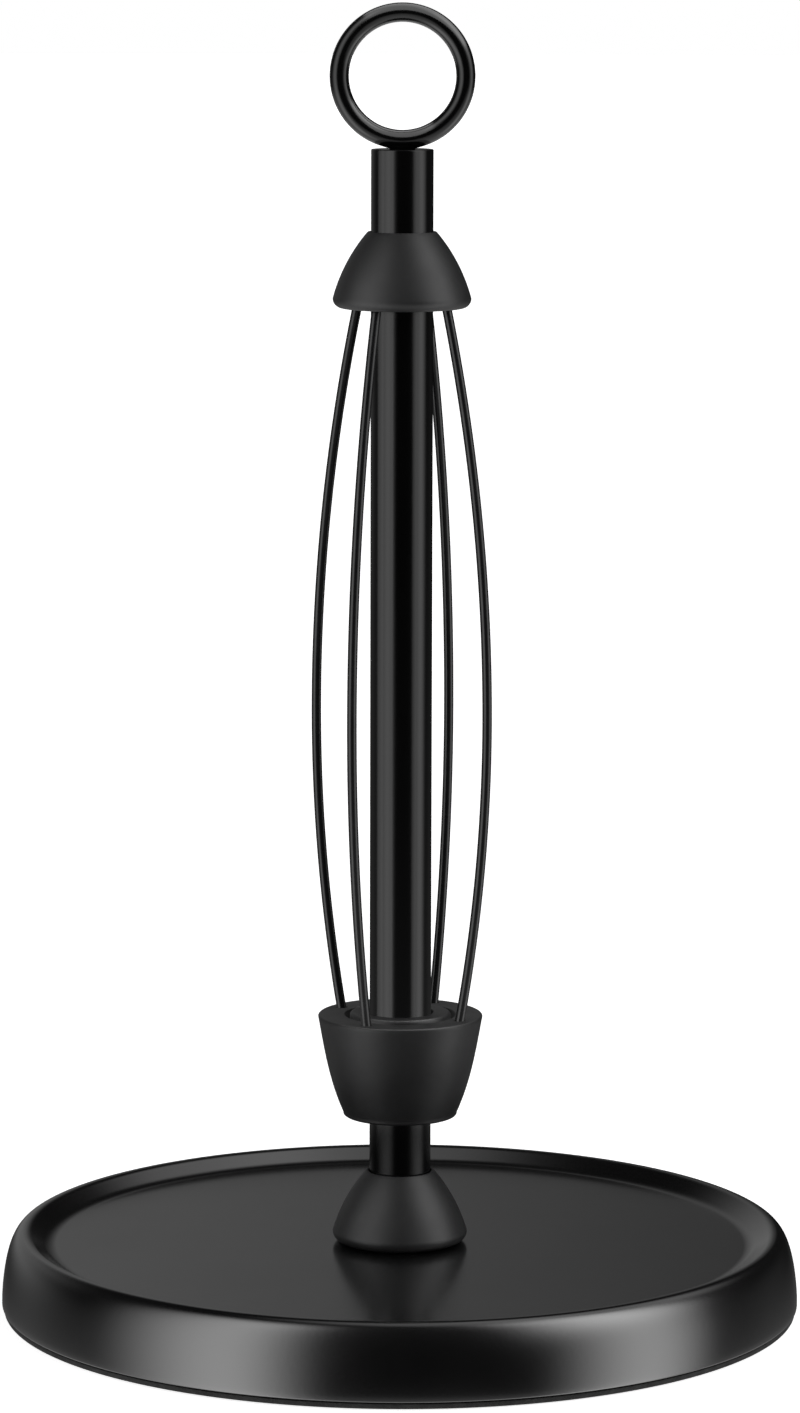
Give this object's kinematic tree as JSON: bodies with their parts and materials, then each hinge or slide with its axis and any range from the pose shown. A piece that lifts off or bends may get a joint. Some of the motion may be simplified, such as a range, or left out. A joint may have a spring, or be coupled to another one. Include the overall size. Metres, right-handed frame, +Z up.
{
  "type": "paper towel holder",
  "caption": "Free-standing paper towel holder: weighted round base, tube post with a finger ring, and a turning cage of bowed spring wires that grips the roll's core.",
  "frame": {"origin": "centre of the base's underside, on the table", "axes": "+Z up along the post; -Y is the front, so the finger ring stands in the X-Z plane"},
  "size_m": [0.1954, 0.1954, 0.3185],
  "materials": {
    "base_paint": "satin black powder coat on pressed steel",
    "gloss_paint": "gloss black enamel on steel",
    "soft_touch": "satin soft-touch moulded plastic",
    "wire_coating": "gloss black coating on spring wire",
    "foam_rubber": "fine-celled foam rubber",
    "iron_casting": "as cast",
    "steel_hardware": "zinc-plated",
    "nylon": "natural moulded nylon"
  },
  "bodies": {
    "stand": {"base_cover": "base_paint", "base_weight": "iron_casting", "base_plate": "base_paint", "base_screw_1": "steel_hardware", "base_screw_2": "steel_hardware", "base_screw_3": "steel_hardware", "base_screw_4": "steel_hardware", "non_slip_pad": "foam_rubber", "post_foot": "soft_touch", "post_bolt": "steel_hardware", "bolt_washer": "steel_hardware", "lock_washer": "steel_hardware", "post_lower_insert": "steel_hardware", "post_tube": "gloss_paint", "post_top_plug": "steel_hardware", "ring_finial": "gloss_paint", "ratchet_hub": "nylon", "hub_cap": "soft_touch", "hub_pin": "steel_hardware", "thrust_washer": "nylon", "retaining_ring": "steel_hardware", "pawl_spring_1": "steel_hardware", "pawl_spring_2": "steel_hardware"},
    "cage": {"lower_cup": "soft_touch", "ratchet_ring": "nylon", "spring_wire_1": "wire_coating", "spring_wire_2": "wire_coating", "spring_wire_3": "wire_coating", "spring_wire_4": "wire_coating"},
    "collar": {"top_collar": "soft_touch", "wire_retainer": "soft_touch", "collar_bush": "nylon"},
    "pawl_1": {"pawl_1": "steel_hardware"},
    "pawl_2": {"pawl_2": "steel_hardware"}
  },
  "joints": [
    {"name": "cage_spin", "type": "hinge", "parent": "stand", "child": "cage", "pos_m": [0, 0, 0.0508], "axis": [0, 0, 1], "continuous": true},
    {"name": "collar_float", "type": "slide", "parent": "cage", "child": "collar", "axis": [0, 0, 1], "range_m": [0, 0.001], "stiffness_N_per_m": 250},
    {"name": "pawl_1_swing", "type": "hinge", "parent": "stand", "child": "pawl_1", "pos_m": [0.0099, 0, 0.0586], "axis": [0, 0, 1], "range_deg": [0, 10], "stiffness_Nm_per_rad": 0.0002, "springref_deg": -5.73, "deforming": ["pawl_spring_1"]},
    {"name": "pawl_2_swing", "type": "hinge", "parent": "stand", "child": "pawl_2", "pos_m": [-0.0099, 0, 0.0586], "axis": [0, 0, 1], "range_deg": [0, 10], "stiffness_Nm_per_rad": 0.0002, "springref_deg": -5.73, "deforming": ["pawl_spring_2"]}
  ]
}
